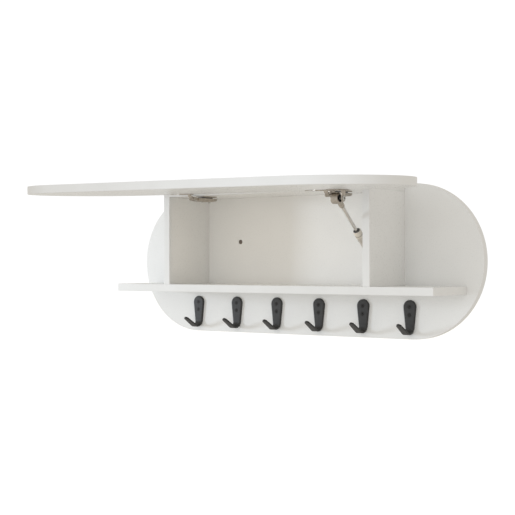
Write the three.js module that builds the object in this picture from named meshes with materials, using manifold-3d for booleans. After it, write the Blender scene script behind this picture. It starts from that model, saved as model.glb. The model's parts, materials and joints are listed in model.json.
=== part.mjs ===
// Wall hook rack: a pill-shaped back panel that carries a small box with a flip-up door, a long shelf
// plank and six black hooks. Millimetres, +Z up. The origin is on the wall face, at the panel's centre:
// +X runs along the rack, -Y points into the room. The door is drawn open, as far as its stay lets it go.

import * as THREE from 'three';
import { mergeVertices } from 'three/addons/utils/BufferGeometryUtils.js';
import Module from 'manifold-3d';

const wasm = await Module();
wasm.setup();

// ---- driving dimensions ----

const BOARD = 15;
const EDGE_BREAK = 0.8;
const PILL_STEPS = 44;
const PANEL_WIDTH = 820;
const PANEL_HEIGHT = 296;
const BOX_WIDTH = 492;
const BOX_DEPTH = 130;
const SHELF_WIDTH = 750;
const SHELF_TOP = -46;
const GAP = 0.3;

const PANEL_FRONT = -BOARD;
const BOX_FRONT = PANEL_FRONT - BOX_DEPTH;
const BOX_TOP = PANEL_HEIGHT / 2;
const CEILING = BOX_TOP - BOARD;
const INNER_HALF = BOX_WIDTH / 2 - BOARD;

const DOOR_GAP = 1.5;
const DOOR_BACK = BOX_FRONT - DOOR_GAP;
const DOOR_AXIS = { y: -158.5, z: 145.3 };
const OPEN_ANGLE = THREE.MathUtils.degToRad(88.3);
const DOOR_TILT = THREE.MathUtils.degToRad(0.75);

const HOOK_COUNT = 6;
const HOOK_PITCH = 103;
const HOOK_TOP = -73;

const HINGE_X = 163;
const NOSE = { y: -152, z: 125 };

const STAY_X = 208;
const STAY_UPPER = { y: -193, z: 113.7 };
const STAY_LENGTH = 185;
const STAY_SLOPE = THREE.MathUtils.degToRad(41.2);

// ---- materials ----

function finish(color, roughness, metalness) {
  return new THREE.MeshStandardMaterial({ color, roughness, metalness });
}

const WHITE_BOARD = finish(0xe6e6e2, 0.45, 0);
const HOOK_BLACK = finish(0x2b2a29, 0.5, 0.4);
const SCREW_BLACK = finish(0x242322, 0.45, 0.5);
const NICKEL = finish(0x9a938a, 0.3, 1);
const ZINC = finish(0xb4b2ac, 0.35, 1);
const CHROME = finish(0xc9c7c4, 0.12, 1);
const TUBE_PAINT = finish(0xb3aca2, 0.35, 0.6);
const CAP_BROWN = finish(0x6b6258, 0.6, 0);

// ---- solids ----

const rack = new THREE.Group();

function toSolid(geometry) {
  const bare = new THREE.BufferGeometry();
  bare.setAttribute('position', geometry.getAttribute('position'));
  if (geometry.index) bare.setIndex(geometry.index);
  const merged = mergeVertices(bare, 1e-4);
  const vertProperties = new Float32Array(merged.getAttribute('position').array);
  const triVerts = new Uint32Array(merged.index.array);
  return new wasm.Manifold(new wasm.Mesh({ numProp: 3, vertProperties, triVerts }));
}

function toGeometry(solid) {
  const { vertProperties, triVerts } = solid.getMesh();
  const geometry = new THREE.BufferGeometry();
  geometry.setAttribute('position', new THREE.BufferAttribute(vertProperties, 3));
  geometry.setIndex(new THREE.BufferAttribute(triVerts, 1));
  geometry.computeVertexNormals();
  return geometry;
}

function cut(body, tools) {
  return toGeometry(tools.reduce((solid, tool) => solid.subtract(toSolid(tool)), toSolid(body)));
}

function join(body, others) {
  return toGeometry(others.reduce((solid, other) => solid.add(toSolid(other)), toSolid(body)));
}

function addPiece(name, geometry, material, parent = rack) {
  const mesh = new THREE.Mesh(geometry, material);
  mesh.name = name;
  parent.add(mesh);
  return mesh;
}

// ---- basic shapes ----

const DIRECTION = {
  left: new THREE.Vector3(-1, 0, 0),
  front: new THREE.Vector3(0, -1, 0),
  back: new THREE.Vector3(0, 1, 0),
  down: new THREE.Vector3(0, 0, -1),
};

function box(x0, x1, y0, y1, z0, z1) {
  const geometry = new THREE.BoxGeometry(x1 - x0, y1 - y0, z1 - z0);
  return geometry.translate((x0 + x1) / 2, (y0 + y1) / 2, (z0 + z1) / 2);
}

function brokenRectangle(width, height, c) {
  const x = width / 2;
  const y = height / 2;
  const corners = [
    [-x + c, -y], [x - c, -y], [x, -y + c], [x, y - c],
    [x - c, y], [-x + c, y], [-x, y - c], [-x, -y + c],
  ];
  return new THREE.Shape(corners.map(([a, b]) => new THREE.Vector2(a, b)));
}

// A board with its edges broken, flat along X and standing or lying between the given limits.
function board(x0, x1, y0, y1, z0, z1) {
  const geometry = new THREE.ExtrudeGeometry(brokenRectangle(x1 - x0, y1 - y0, EDGE_BREAK), {
    depth: z1 - z0 - 2 * EDGE_BREAK,
    bevelThickness: EDGE_BREAK,
    bevelSize: EDGE_BREAK,
    bevelOffset: -EDGE_BREAK,
    bevelSegments: 1,
  });
  return geometry.translate((x0 + x1) / 2, (y0 + y1) / 2, z0 + EDGE_BREAK);
}

function pillBoard(width, height, backY) {
  const radius = height / 2;
  const reach = width / 2 - radius;
  const outline = new THREE.Shape();
  outline.absarc(reach, 0, radius, -Math.PI / 2, Math.PI / 2, false);
  outline.absarc(-reach, 0, radius, Math.PI / 2, (3 * Math.PI) / 2, false);
  const geometry = new THREE.ExtrudeGeometry(outline, {
    depth: BOARD - 2 * EDGE_BREAK,
    bevelThickness: EDGE_BREAK,
    bevelSize: EDGE_BREAK,
    bevelOffset: -EDGE_BREAK,
    bevelSegments: 1,
    curveSegments: PILL_STEPS,
  });
  geometry.rotateX(Math.PI / 2);
  return geometry.translate(0, backY - EDGE_BREAK, 0);
}

// A side profile drawn in Y and Z, given thickness along X.
function acrossX(outline, x0, x1, curveSegments = 8) {
  const geometry = new THREE.ExtrudeGeometry(outline, { depth: x1 - x0, bevelEnabled: false, curveSegments });
  const axes = new THREE.Matrix4().makeBasis(
    new THREE.Vector3(0, 1, 0),
    new THREE.Vector3(0, 0, 1),
    new THREE.Vector3(1, 0, 0),
  );
  return geometry.applyMatrix4(axes).translate(x0, 0, 0);
}

function outlineOf(points) {
  return new THREE.Shape(points.map(([a, b]) => new THREE.Vector2(a, b)));
}

// A plain round bar from one point, along one direction.
function bar(radius, length, start, direction, segments = 16) {
  const geometry = new THREE.CylinderGeometry(radius, radius, length, segments);
  geometry.translate(0, length / 2, 0);
  return aim(geometry, start, direction);
}

// Turns a geometry drawn along +Y towards the given direction, then moves it to its place.
function aim(geometry, place, direction) {
  geometry.applyQuaternion(new THREE.Quaternion().setFromUnitVectors(new THREE.Vector3(0, 1, 0), direction));
  return geometry.translate(place[0], place[1], place[2]);
}

// A turned shape about +Y. The profile runs from the bottom of the axis to its top.
function turned(profile, segments = 18) {
  return new THREE.LatheGeometry(profile.map(([r, y]) => new THREE.Vector2(r, y)), segments);
}

// ---- screws ----

const HOOK_SCREW = { head: 4, sink: 2.3, shank: 1.8, length: 15.5, cross: 2 };
const CABINET_SCREW = { head: 4.2, sink: 2.6, shank: 2.1, length: 45, cross: 2.1 };
const CUP_SCREW = { head: 3.4, sink: 1.6, shank: 1.6, length: 11, cross: 1.7 };
const BRACKET_SCREW = { head: 3.2, sink: 1.6, shank: 1.5, length: 11, cross: 1.6 };
const SCREW_SEGMENTS = 14;
const TIP_LENGTH = 3;
const RECESS_WIDTH = 0.9;

// A countersunk cross-head screw: the head's top is at the origin and faces +Y.
function sunkScrew({ head, sink, shank, length, cross }) {
  const body = turned([
    [0, -length],
    [shank, -length + TIP_LENGTH],
    [shank, -sink],
    [head, 0],
    [0, 0],
  ], SCREW_SEGMENTS);
  const half = RECESS_WIDTH / 2;
  const depth = sink * 0.6;
  return cut(body, [box(-cross, cross, -depth, 1, -half, half), box(-half, half, -depth, 1, -cross, cross)]);
}

// The hole that such a screw sits in, with a gap all round.
function sunkHole({ head, sink, shank, length }) {
  return turned([
    [0, -length - 1],
    [shank + GAP, -length - 1],
    [shank + GAP, -sink],
    [head + GAP, 0],
    [head + GAP, 1],
    [0, 1],
  ], SCREW_SEGMENTS);
}

function addSunkScrew(name, spec, place, facing, material, parent = rack) {
  addPiece(name, aim(sunkScrew(spec), place, facing), material, parent);
}

// ---- where the fasteners are ----

const HOOK_X = Array.from({ length: HOOK_COUNT }, (_, i) => (i - (HOOK_COUNT - 1) / 2) * HOOK_PITCH);
const HOOK_THICK = 4.4;
const HOOK_SCREW_DROPS = { upper: 12.9, lower: 28.4 };
const HOOK_FACE = PANEL_FRONT - HOOK_THICK;

const WALL_HOLE_X = 146.6;
const WALL_HOLE_Z = 41.5;
const WALL_HOLE_RADIUS = 3.2;
const WALL_CAP_RADIUS = 4.6;
const WALL_CAP_DEPTH = 3;

const SHELF_MIDDLE = SHELF_TOP - BOARD / 2;
const TOP_MIDDLE = BOX_TOP - BOARD / 2;
const SIDE_MIDDLE = BOX_WIDTH / 2 - BOARD / 2;
const CABINET_SCREWS = {
  shelf_screw_left: [-300, SHELF_MIDDLE],
  shelf_screw_right: [300, SHELF_MIDDLE],
  side_screw_left: [-SIDE_MIDDLE, 40],
  side_screw_right: [SIDE_MIDDLE, 40],
  top_screw_left: [-110, TOP_MIDDLE],
  top_screw_right: [110, TOP_MIDDLE],
};
const CABINET_SCREW_SINK = 0.6;

function cabinetHole([x, z]) {
  return aim(sunkHole(CABINET_SCREW), [x, -CABINET_SCREW_SINK, z], DIRECTION.back);
}

function hookScrewPlace(x, which) {
  return [x, HOOK_FACE, HOOK_TOP - HOOK_SCREW_DROPS[which]];
}

// ---- boards ----

function backPanel() {
  const holes = Object.values(CABINET_SCREWS).map(cabinetHole);
  for (const x of HOOK_X) {
    for (const which of Object.keys(HOOK_SCREW_DROPS)) {
      const [, , z] = hookScrewPlace(x, which);
      const depth = HOOK_SCREW.length - HOOK_THICK + 1;
      const radius = HOOK_SCREW.shank + GAP;
      holes.push(bar(radius, depth + 1, [x, PANEL_FRONT - 1, z], DIRECTION.back, SCREW_SEGMENTS));
    }
  }
  for (const x of [-WALL_HOLE_X, WALL_HOLE_X]) {
    holes.push(bar(WALL_HOLE_RADIUS, BOARD + 2, [x, 1, WALL_HOLE_Z], DIRECTION.front));
    const mouth = [x, PANEL_FRONT + WALL_CAP_DEPTH + GAP, WALL_HOLE_Z];
    holes.push(bar(WALL_CAP_RADIUS + GAP, WALL_CAP_DEPTH + 2, mouth, DIRECTION.front));
  }
  return cut(pillBoard(PANEL_WIDTH, PANEL_HEIGHT, 0), holes);
}

// A shallow domed plug in the mouth of a wall-fixing hole, with a stem that grips the hole.
function wallCap(x) {
  const plug = turned([
    [0, -WALL_CAP_DEPTH - 5],
    [WALL_HOLE_RADIUS - GAP - 0.4, -WALL_CAP_DEPTH - 5],
    [WALL_HOLE_RADIUS - GAP, -WALL_CAP_DEPTH],
    [WALL_CAP_RADIUS, -WALL_CAP_DEPTH],
    [WALL_CAP_RADIUS, -0.5],
    [WALL_CAP_RADIUS - 1.2, 0.1],
    [1.6, 0.1],
    [0, -0.9],
  ], 16);
  return aim(plug, [x, PANEL_FRONT, WALL_HOLE_Z], DIRECTION.front);
}

function addBoards() {
  const side = BOX_WIDTH / 2;
  const { side_screw_left: leftScrew, side_screw_right: rightScrew } = CABINET_SCREWS;
  const shelfHalf = SHELF_WIDTH / 2;
  const shelf = board(-shelfHalf, shelfHalf, BOX_FRONT, PANEL_FRONT, SHELF_TOP - BOARD, SHELF_TOP);
  const top = board(-side, side, BOX_FRONT, PANEL_FRONT, CEILING, BOX_TOP);
  const left = board(-side, -INNER_HALF, BOX_FRONT, PANEL_FRONT, SHELF_TOP, CEILING);
  const right = board(INNER_HALF, side, BOX_FRONT, PANEL_FRONT, SHELF_TOP, CEILING);
  const shelfHoles = [CABINET_SCREWS.shelf_screw_left, CABINET_SCREWS.shelf_screw_right].map(cabinetHole);
  const topHoles = [CABINET_SCREWS.top_screw_left, CABINET_SCREWS.top_screw_right].map(cabinetHole);
  addPiece('back_panel', backPanel(), WHITE_BOARD);
  addPiece('shelf', cut(shelf, shelfHoles), WHITE_BOARD);
  const plateHoles = [-HINGE_X, HINGE_X].flatMap(plateScrewHoles);
  addPiece('top_panel', cut(top, [...topHoles, ...plateHoles]), WHITE_BOARD);
  addPiece('left_side_panel', cut(left, [cabinetHole(leftScrew)]), WHITE_BOARD);
  addPiece('right_side_panel', cut(right, [cabinetHole(rightScrew), ...panelBracketHoles()]), WHITE_BOARD);
  for (const [name, [x, z]] of Object.entries(CABINET_SCREWS)) {
    addSunkScrew(name, CABINET_SCREW, [x, -CABINET_SCREW_SINK, z], DIRECTION.back, ZINC);
  }
  addPiece('wall_cap_left', wallCap(-WALL_HOLE_X), CAP_BROWN);
  addPiece('wall_cap_right', wallCap(WALL_HOLE_X), CAP_BROWN);
}

// ---- hooks ----

const HOOK_HEAD_RADIUS = 13.45;
const HOOK_STRAIGHT = 52;
const BEND_RADIUS = 11.5;
const TOE_RADIUS = 7;
const TOE_FLAT = 0.5;
const ARM_ANGLE = THREE.MathUtils.degToRad(31);
const ARM_LENGTH = 35;
const TIP_RADIUS = 5.2;
const STRAP_WAIST = 9.2;
const STRAP_TOE = 7.2;
const STRAP_BREAK = 1;
const BEND_END = HOOK_STRAIGHT + (BEND_RADIUS * Math.PI) / 2;

// The middle line of the strap: x is the distance out of the panel, y the height below the hook's top.
function hookPath() {
  const depth = HOOK_THICK / 2;
  const path = new THREE.CurvePath();
  const heel = new THREE.Vector2(depth + BEND_RADIUS, -HOOK_STRAIGHT - BEND_RADIUS);
  const toe = new THREE.Vector2(heel.x + TOE_FLAT, heel.y);
  const turn = new THREE.EllipseCurve(
    toe.x, toe.y + TOE_RADIUS, TOE_RADIUS, TOE_RADIUS, -Math.PI / 2, -Math.PI / 2 + ARM_ANGLE,
  );
  const armStart = turn.getPoint(1);
  const arm = new THREE.Vector2(Math.cos(ARM_ANGLE), Math.sin(ARM_ANGLE)).multiplyScalar(ARM_LENGTH);
  path.add(new THREE.LineCurve(new THREE.Vector2(depth, 0), new THREE.Vector2(depth, -HOOK_STRAIGHT)));
  path.add(new THREE.EllipseCurve(
    heel.x, heel.y + BEND_RADIUS, BEND_RADIUS, BEND_RADIUS, Math.PI, (3 * Math.PI) / 2,
  ));
  path.add(new THREE.LineCurve(heel, toe));
  path.add(turn);
  path.add(new THREE.LineCurve(armStart, armStart.clone().add(arm)));
  return path;
}

// Half the strap's width at a distance s along it: a round head, a long taper and a round tip.
function strapHalfWidth(s, length) {
  const { mapLinear } = THREE.MathUtils;
  const fromTip = length - s;
  if (s < HOOK_HEAD_RADIUS) return Math.sqrt(HOOK_HEAD_RADIUS ** 2 - (HOOK_HEAD_RADIUS - s) ** 2);
  if (fromTip < TIP_RADIUS) return Math.sqrt(TIP_RADIUS ** 2 - (TIP_RADIUS - fromTip) ** 2);
  if (s < HOOK_STRAIGHT) return mapLinear(s, HOOK_HEAD_RADIUS, HOOK_STRAIGHT, HOOK_HEAD_RADIUS, STRAP_WAIST);
  if (s < BEND_END) return mapLinear(s, HOOK_STRAIGHT, BEND_END, STRAP_WAIST, STRAP_TOE);
  return mapLinear(s, BEND_END, length - TIP_RADIUS, STRAP_TOE, TIP_RADIUS);
}

// Places along the strap where its section is drawn, closer together where it bends or rounds off.
function strapStations(length) {
  const evenly = (from, to, steps) => (
    Array.from({ length: steps + 1 }, (_, i) => from + ((to - from) * i) / steps)
  );
  const toeStart = BEND_END + TOE_FLAT;
  return [
    ...[0.01, 0.08, 0.25, 0.55, 1].map((f) => f * HOOK_HEAD_RADIUS),
    ...evenly(HOOK_STRAIGHT, BEND_END, 5),
    ...evenly(toeStart, toeStart + TOE_RADIUS * ARM_ANGLE, 3),
    ...[1, 0.5, 0.2, 0.02].map((f) => length - f * TIP_RADIUS),
  ];
}

// Eight-sided section with broken edges, w wide and h thick on each side of the middle line.
function strapSection(w, h) {
  const c = Math.min(STRAP_BREAK, w * 0.4);
  return [
    [-w, -h + c], [-w + c, -h], [w - c, -h], [w, -h + c],
    [w, h - c], [w - c, h], [-w + c, h], [-w, h - c],
  ];
}

function skin(rings) {
  const sides = rings[0].length;
  const positions = rings.flat().flatMap((p) => [p.x, p.y, p.z]);
  const index = [];
  for (let r = 0; r + 1 < rings.length; r += 1) {
    for (let k = 0; k < sides; k += 1) {
      const a = r * sides + k;
      const b = r * sides + ((k + 1) % sides);
      index.push(a, b, a + sides, b, b + sides, a + sides);
    }
  }
  const last = (rings.length - 1) * sides;
  for (let k = 1; k + 1 < sides; k += 1) {
    index.push(0, k + 1, k);
    index.push(last, last + k, last + k + 1);
  }
  const geometry = new THREE.BufferGeometry();
  geometry.setAttribute('position', new THREE.Float32BufferAttribute(positions, 3));
  geometry.setIndex(index);
  return geometry;
}

function hook(x) {
  const path = hookPath();
  const length = path.getLength();
  const rings = strapStations(length).map((s) => {
    const along = s / length;
    const middle = path.getPointAt(along);
    const heading = path.getTangentAt(along);
    return strapSection(strapHalfWidth(s, length), HOOK_THICK / 2).map(([w, h]) => new THREE.Vector3(
      x + w,
      PANEL_FRONT - (middle.x - heading.y * h),
      HOOK_TOP + middle.y + heading.x * h,
    ));
  });
  const holes = Object.keys(HOOK_SCREW_DROPS).map(
    (which) => aim(sunkHole(HOOK_SCREW), hookScrewPlace(x, which), DIRECTION.front),
  );
  return cut(skin(rings), holes);
}

function addHooks() {
  HOOK_X.forEach((x, i) => {
    addPiece(`hook_${i + 1}`, hook(x), HOOK_BLACK);
    for (const which of Object.keys(HOOK_SCREW_DROPS)) {
      const name = `hook_${i + 1}_${which}_screw`;
      addSunkScrew(name, HOOK_SCREW, hookScrewPlace(x, which), DIRECTION.front, SCREW_BLACK);
    }
  });
}

// ---- door, drawn closed in a group that swings it open about the hinge axis ----
// The hinges are set a little unevenly, so their axis falls towards the right by DOOR_TILT.

const CUP_RADIUS = 17.5;
const CUP_DEPTH = 11.5;
const CUP_SEGMENTS = 28;
const CUP_WALL = 1;
const CUP_EDGE = 4;
const CUP_Z = BOX_TOP - CUP_EDGE - CUP_RADIUS;
const CUP_FLANGE = 0.9;
const CUP_EAR_X = 22.5;
const CUP_EAR_DROP = 9.5;
const CUP_EAR_SIZE = { reach: 28.5, width: 12, corner: 4 };

function openDoorGroup() {
  const swing = new THREE.Group();
  swing.position.set(0, DOOR_AXIS.y, DOOR_AXIS.z);
  swing.rotation.set(-OPEN_ANGLE, DOOR_TILT, 0, 'YXZ');
  const closed = new THREE.Group();
  closed.position.set(0, -DOOR_AXIS.y, -DOOR_AXIS.z);
  swing.add(closed);
  rack.add(swing);
  return closed;
}

function cupScrewPlaces(x) {
  return [-CUP_EAR_X, CUP_EAR_X].map((dx) => [x + dx, DOOR_BACK + GAP + CUP_FLANGE, CUP_Z - CUP_EAR_DROP]);
}

// The pressed cup: a round pan let into the door, with a flange and two ears on the surface.
function hingeCup(x) {
  const pan = turned([
    [0, -CUP_DEPTH],
    [CUP_RADIUS, -CUP_DEPTH],
    [CUP_RADIUS, CUP_FLANGE],
    [CUP_RADIUS - CUP_WALL, CUP_FLANGE],
    [CUP_RADIUS - CUP_WALL, -CUP_DEPTH + CUP_WALL],
    [0, -CUP_DEPTH + CUP_WALL],
  ], CUP_SEGMENTS);
  const { reach, width, corner } = CUP_EAR_SIZE;
  const ears = new THREE.ExtrudeGeometry(brokenRectangle(2 * reach, width, corner), {
    depth: CUP_FLANGE,
    bevelEnabled: false,
  });
  ears.rotateX(-Math.PI / 2).translate(0, 0, -CUP_EAR_DROP);
  const inside = bar(CUP_RADIUS - CUP_WALL / 2, 4, [0, -2, 0], DIRECTION.back, CUP_SEGMENTS);
  const cup = join(pan, [cut(ears, [inside])]).translate(x, DOOR_BACK + GAP, CUP_Z);
  return cut(cup, cupScrewPlaces(x).map((place) => aim(sunkHole(CUP_SCREW), place, DIRECTION.back)));
}

function doorBoard() {
  const holes = [];
  for (const x of [-HINGE_X, HINGE_X]) {
    const floor = [x, DOOR_BACK - CUP_DEPTH, CUP_Z];
    holes.push(bar(CUP_RADIUS + GAP, CUP_DEPTH + 1, floor, DIRECTION.back, CUP_SEGMENTS));
    holes.push(...cupScrewPlaces(x).map((place) => aim(sunkHole(CUP_SCREW), place, DIRECTION.back)));
  }
  holes.push(...doorBracketScrewPlaces().map((place) => aim(sunkHole(BRACKET_SCREW), place, DIRECTION.back)));
  return cut(pillBoard(PANEL_WIDTH, PANEL_HEIGHT, DOOR_BACK), holes);
}

// ---- hinges ----

const ARM_HALF = 9;
const NOSE_HALF = 7;
const ARM_TOP = 130.6;
const ARM_BOTTOM = 122;
const ARM_REAR = -84;
const SHEET = 1.5;
const NOSE_RADIUS = 3.4;
const PIN_RADIUS = 1.4;
const LINK_HALF = 4;
const PLATE = 2;
const ARM_SCREW_Y = { fixing: -99, adjusting: -123 };
const ARM_SCREW_RADIUS = 3.2;
const PLATE_END = { front: -130, rear: -88 };
const PLATE_BLOCK = { front: -128, rear: -94, height: 3.6 };
const ARM_THREAD_RADIUS = 1.6;

function plateScrewHoles(x) {
  return Object.values(ARM_SCREW_Y).map(
    (y) => bar(ARM_THREAD_RADIUS + GAP, 6, [x, y, CEILING + 5], DIRECTION.down, 8),
  );
}

// The mounting plate under the top panel, with a boss that the arm's screws bite into.
function hingePlate(x) {
  const sheet = box(x - 11, x + 11, PLATE_END.front, PLATE_END.rear, CEILING - PLATE, CEILING);
  const { front, rear, height } = PLATE_BLOCK;
  const block = box(x - 5, x + 5, front, rear, CEILING - PLATE - height, CEILING - PLATE / 2);
  const holes = Object.values(ARM_SCREW_Y).map(
    (y) => bar(ARM_THREAD_RADIUS + GAP, 9, [x, y, CEILING + 1], DIRECTION.down, 8),
  );
  return cut(join(sheet, [block]), holes);
}

// The hinge axis is tilted, so each arm is adjusted to hold its nose at its own height.
function noseHeight(x) {
  return NOSE.z - x * Math.tan(DOOR_TILT);
}

// The folded arm: a channel open towards the plate, with two cheeks and a pin at its nose.
function hingeArm(x) {
  const noseZ = noseHeight(x);
  const side = outlineOf([
    [ARM_REAR, ARM_TOP], [ARM_REAR - 1, ARM_BOTTOM + 4], [ARM_REAR - 4, ARM_BOTTOM + 2.4],
    [-100, ARM_BOTTOM + 0.4], [-118, ARM_BOTTOM - 0.4], [-129, ARM_BOTTOM - 0.4],
    [NOSE.y + 2, noseZ - NOSE_RADIUS],
  ]);
  side.absarc(NOSE.y, noseZ, NOSE_RADIUS, -Math.PI / 3, -(4 * Math.PI) / 3, true);
  side.lineTo(-146, ARM_TOP);
  const blank = acrossX(side, x - ARM_HALF, x + ARM_HALF);
  const inner = ARM_HALF - SHEET;
  const hollow = box(x - inner, x + inner, -141, ARM_REAR - 3, ARM_BOTTOM + 3, ARM_TOP + 3);
  const slot = box(x - LINK_HALF - GAP, x + LINK_HALF + GAP, -160, -146, noseZ - 6, ARM_TOP + 3);
  const trims = [-1, 1].map((s) => box(
    Math.min(x + s * NOSE_HALF, x + s * 12),
    Math.max(x + s * NOSE_HALF, x + s * 12),
    -160, -143, noseZ - 8, ARM_TOP + 3,
  ));
  const screwHoles = Object.values(ARM_SCREW_Y).map((y) => (
    bar(2.1 + GAP, 14, [x, y, ARM_TOP], DIRECTION.down, 8)
  ));
  const pin = bar(PIN_RADIUS, 2 * NOSE_HALF, [x + NOSE_HALF, NOSE.y, noseZ], DIRECTION.left, 12);
  return join(cut(blank, [hollow, slot, ...trims, ...screwHoles]), [pin]);
}

// The link: an eye on the nose pin and a curved lug that reaches into the cup's mouth.
function hingeLink(x) {
  const eye = bar(3, 2 * LINK_HALF, [x + LINK_HALF, NOSE.y, NOSE.z], DIRECTION.left, 18);
  const lug = acrossX(outlineOf([
    [0, -2.6], [-5, -0.2], [-8, 2.4], [-11.4, 6], [-12.2, 9.2],
    [-10.6, 9.2], [-10.2, 7.6], [-7, 4.9], [-4, 3.2], [0, 2.8],
  ]), x - LINK_HALF, x + LINK_HALF).translate(0, NOSE.y, NOSE.z);
  const holeStart = [x + LINK_HALF + 1, NOSE.y, NOSE.z];
  const hole = bar(PIN_RADIUS + GAP, 2 * LINK_HALF + 2, holeStart, DIRECTION.left, 18);
  const link = cut(join(eye, [lug]), [hole]);
  return link.translate(0, 0, -NOSE.z).rotateY(DOOR_TILT).translate(0, 0, NOSE.z);
}

// A pan-head machine screw up through the arm into the plate.
function armScrew(x, y) {
  const seat = ARM_BOTTOM - 0.4;
  const body = turned([
    [0, -9.5],
    [ARM_THREAD_RADIUS, -9.5],
    [ARM_THREAD_RADIUS, -GAP],
    [ARM_SCREW_RADIUS, -GAP],
    [ARM_SCREW_RADIUS, 0.7],
    [ARM_SCREW_RADIUS - 0.8, 1.3],
    [0, 1.3],
  ], 12);
  const recess = [box(-1.8, 1.8, 0.3, 2, -0.45, 0.45), box(-0.45, 0.45, 0.3, 2, -1.8, 1.8)];
  return aim(cut(body, recess), [x, y, seat - GAP], DIRECTION.down);
}

function addHinge(side, x, doorGroup) {
  addPiece(`${side}_hinge_plate`, hingePlate(x), NICKEL);
  addPiece(`${side}_hinge_arm`, hingeArm(x), NICKEL);
  addPiece(`${side}_hinge_link`, hingeLink(x), NICKEL);
  for (const [use, y] of Object.entries(ARM_SCREW_Y)) {
    addPiece(`${side}_hinge_${use}_screw`, armScrew(x, y), ZINC);
  }
  addPiece(`${side}_hinge_cup`, hingeCup(x), NICKEL, doorGroup);
  cupScrewPlaces(x).forEach((place, i) => {
    addSunkScrew(`${side}_hinge_cup_screw_${i + 1}`, CUP_SCREW, place, DIRECTION.back, ZINC, doorGroup);
  });
}

// ---- gas stay ----

const EYE_RADIUS = 10.3;
const EYE_LEFT = 9.4;
const EYE_RIGHT = 6;
const EYE_RECESS = { radius: 6.8, depth: 2.6 };
const CHEEK = 2;
const CHEEK_RADIUS = 6.5;
const CHEEK_START = EYE_RIGHT + 5.5;
const CHEEK_END = CHEEK_START + CHEEK;
const FLANGE = { start: -12.4, height: 7, halfLength: 8 };
const BRACKET_HALF_LENGTH = 19.5;
const BRACKET_SHEET = 2;
const BRACKET_SCREW_SPACING = 15;
const PIN_HEAD = { radius: 5, hole: 3.3, shank: 3, height: 1.2, socket: 2.4 };
const NECK_RADIUS = 5;
const NECK_END = 23;
const ROD_RADIUS = 3;
const ROD_START = 17;
const ROD_END = 120;
const COLLAR_START = 86;
const COLLAR_END = 102;
const COLLAR_RADIUS = 7.9;
const TUBE_START = 89;
const TUBE_RADIUS = 6.8;
const TUBE_WALL = 1.2;
const TUBE_END = 172;
const LOWER_EYE_RADIUS = 7;
const LOWER_EYE_HALF = 4.5;
const STUD_RADIUS = 3.6;
const PANEL_PLATE_HALF = { y: 9, z: 21 };
const PANEL_SCREW_Z = 14;

const STAY_LOWER = {
  y: STAY_UPPER.y + STAY_LENGTH * Math.cos(STAY_SLOPE),
  z: STAY_UPPER.z - STAY_LENGTH * Math.sin(STAY_SLOPE),
};

// The upper pivot's place on the door, in the group where the door is drawn closed.
function closedPivot() {
  doorGroup.updateWorldMatrix(true, false);
  const place = new THREE.Vector3(STAY_X, STAY_UPPER.y, STAY_UPPER.z);
  return place.applyMatrix4(doorGroup.matrixWorld.clone().invert());
}

function doorBracketScrewPlaces() {
  const { x, z } = closedPivot();
  return [-1, 1].map((s) => [x, DOOR_BACK + GAP + BRACKET_SHEET, z + s * BRACKET_SCREW_SPACING]);
}

// Folded bracket on the door: a foot plate, a low flange on its left and a round-ended cheek on its right.
function doorBracket() {
  const { x, y, z } = closedPivot();
  const seat = DOOR_BACK + GAP;
  const left = x + FLANGE.start;
  const foot = box(
    left, x + CHEEK_END, seat, seat + BRACKET_SHEET,
    z - BRACKET_HALF_LENGTH, z + BRACKET_HALF_LENGTH,
  );
  const flange = box(
    left, left + CHEEK, seat + 0.5, seat + FLANGE.height,
    z - FLANGE.halfLength, z + FLANGE.halfLength,
  );
  const outline = outlineOf([[seat + 0.5, z - CHEEK_RADIUS], [y, z - CHEEK_RADIUS]]);
  outline.absarc(y, z, CHEEK_RADIUS, -Math.PI / 2, Math.PI / 2, false);
  outline.lineTo(seat + 0.5, z + CHEEK_RADIUS);
  const cheek = acrossX(outline, x + CHEEK_START, x + CHEEK_END, 10);
  const holes = doorBracketScrewPlaces().map((place) => aim(sunkHole(BRACKET_SCREW), place, DIRECTION.back));
  const pinHole = bar(PIN_HEAD.hole, 8, [x + CHEEK_END + 3, y, z], DIRECTION.left, 16);
  return cut(join(foot, [flange, cheek]), [...holes, pinHole]);
}

// The pivot: it fills the cheek's hole and reaches into the recess of the rod's eye, just short of its floor.
function upperPin() {
  const { x, y, z } = closedPivot();
  const tip = EYE_RIGHT - EYE_RECESS.depth + 0.4;
  const body = turned([
    [0, tip],
    [PIN_HEAD.shank, tip],
    [PIN_HEAD.shank, CHEEK_END + 0.1],
    [PIN_HEAD.radius, CHEEK_END + 0.1],
    [PIN_HEAD.radius, CHEEK_END + PIN_HEAD.height],
    [PIN_HEAD.socket, CHEEK_END + PIN_HEAD.height],
    [PIN_HEAD.socket, CHEEK_END - 0.8],
    [0, CHEEK_END - 0.8],
  ], 18);
  return aim(body, [x, y, z], new THREE.Vector3(1, 0, 0));
}

// The strut is drawn hanging from its upper pivot, along -Z, and then tilted into place.
function strutGroup() {
  const strut = new THREE.Group();
  strut.position.set(STAY_X, STAY_UPPER.y, STAY_UPPER.z);
  strut.rotation.x = Math.PI / 2 - STAY_SLOPE;
  rack.add(strut);
  return strut;
}

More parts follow.
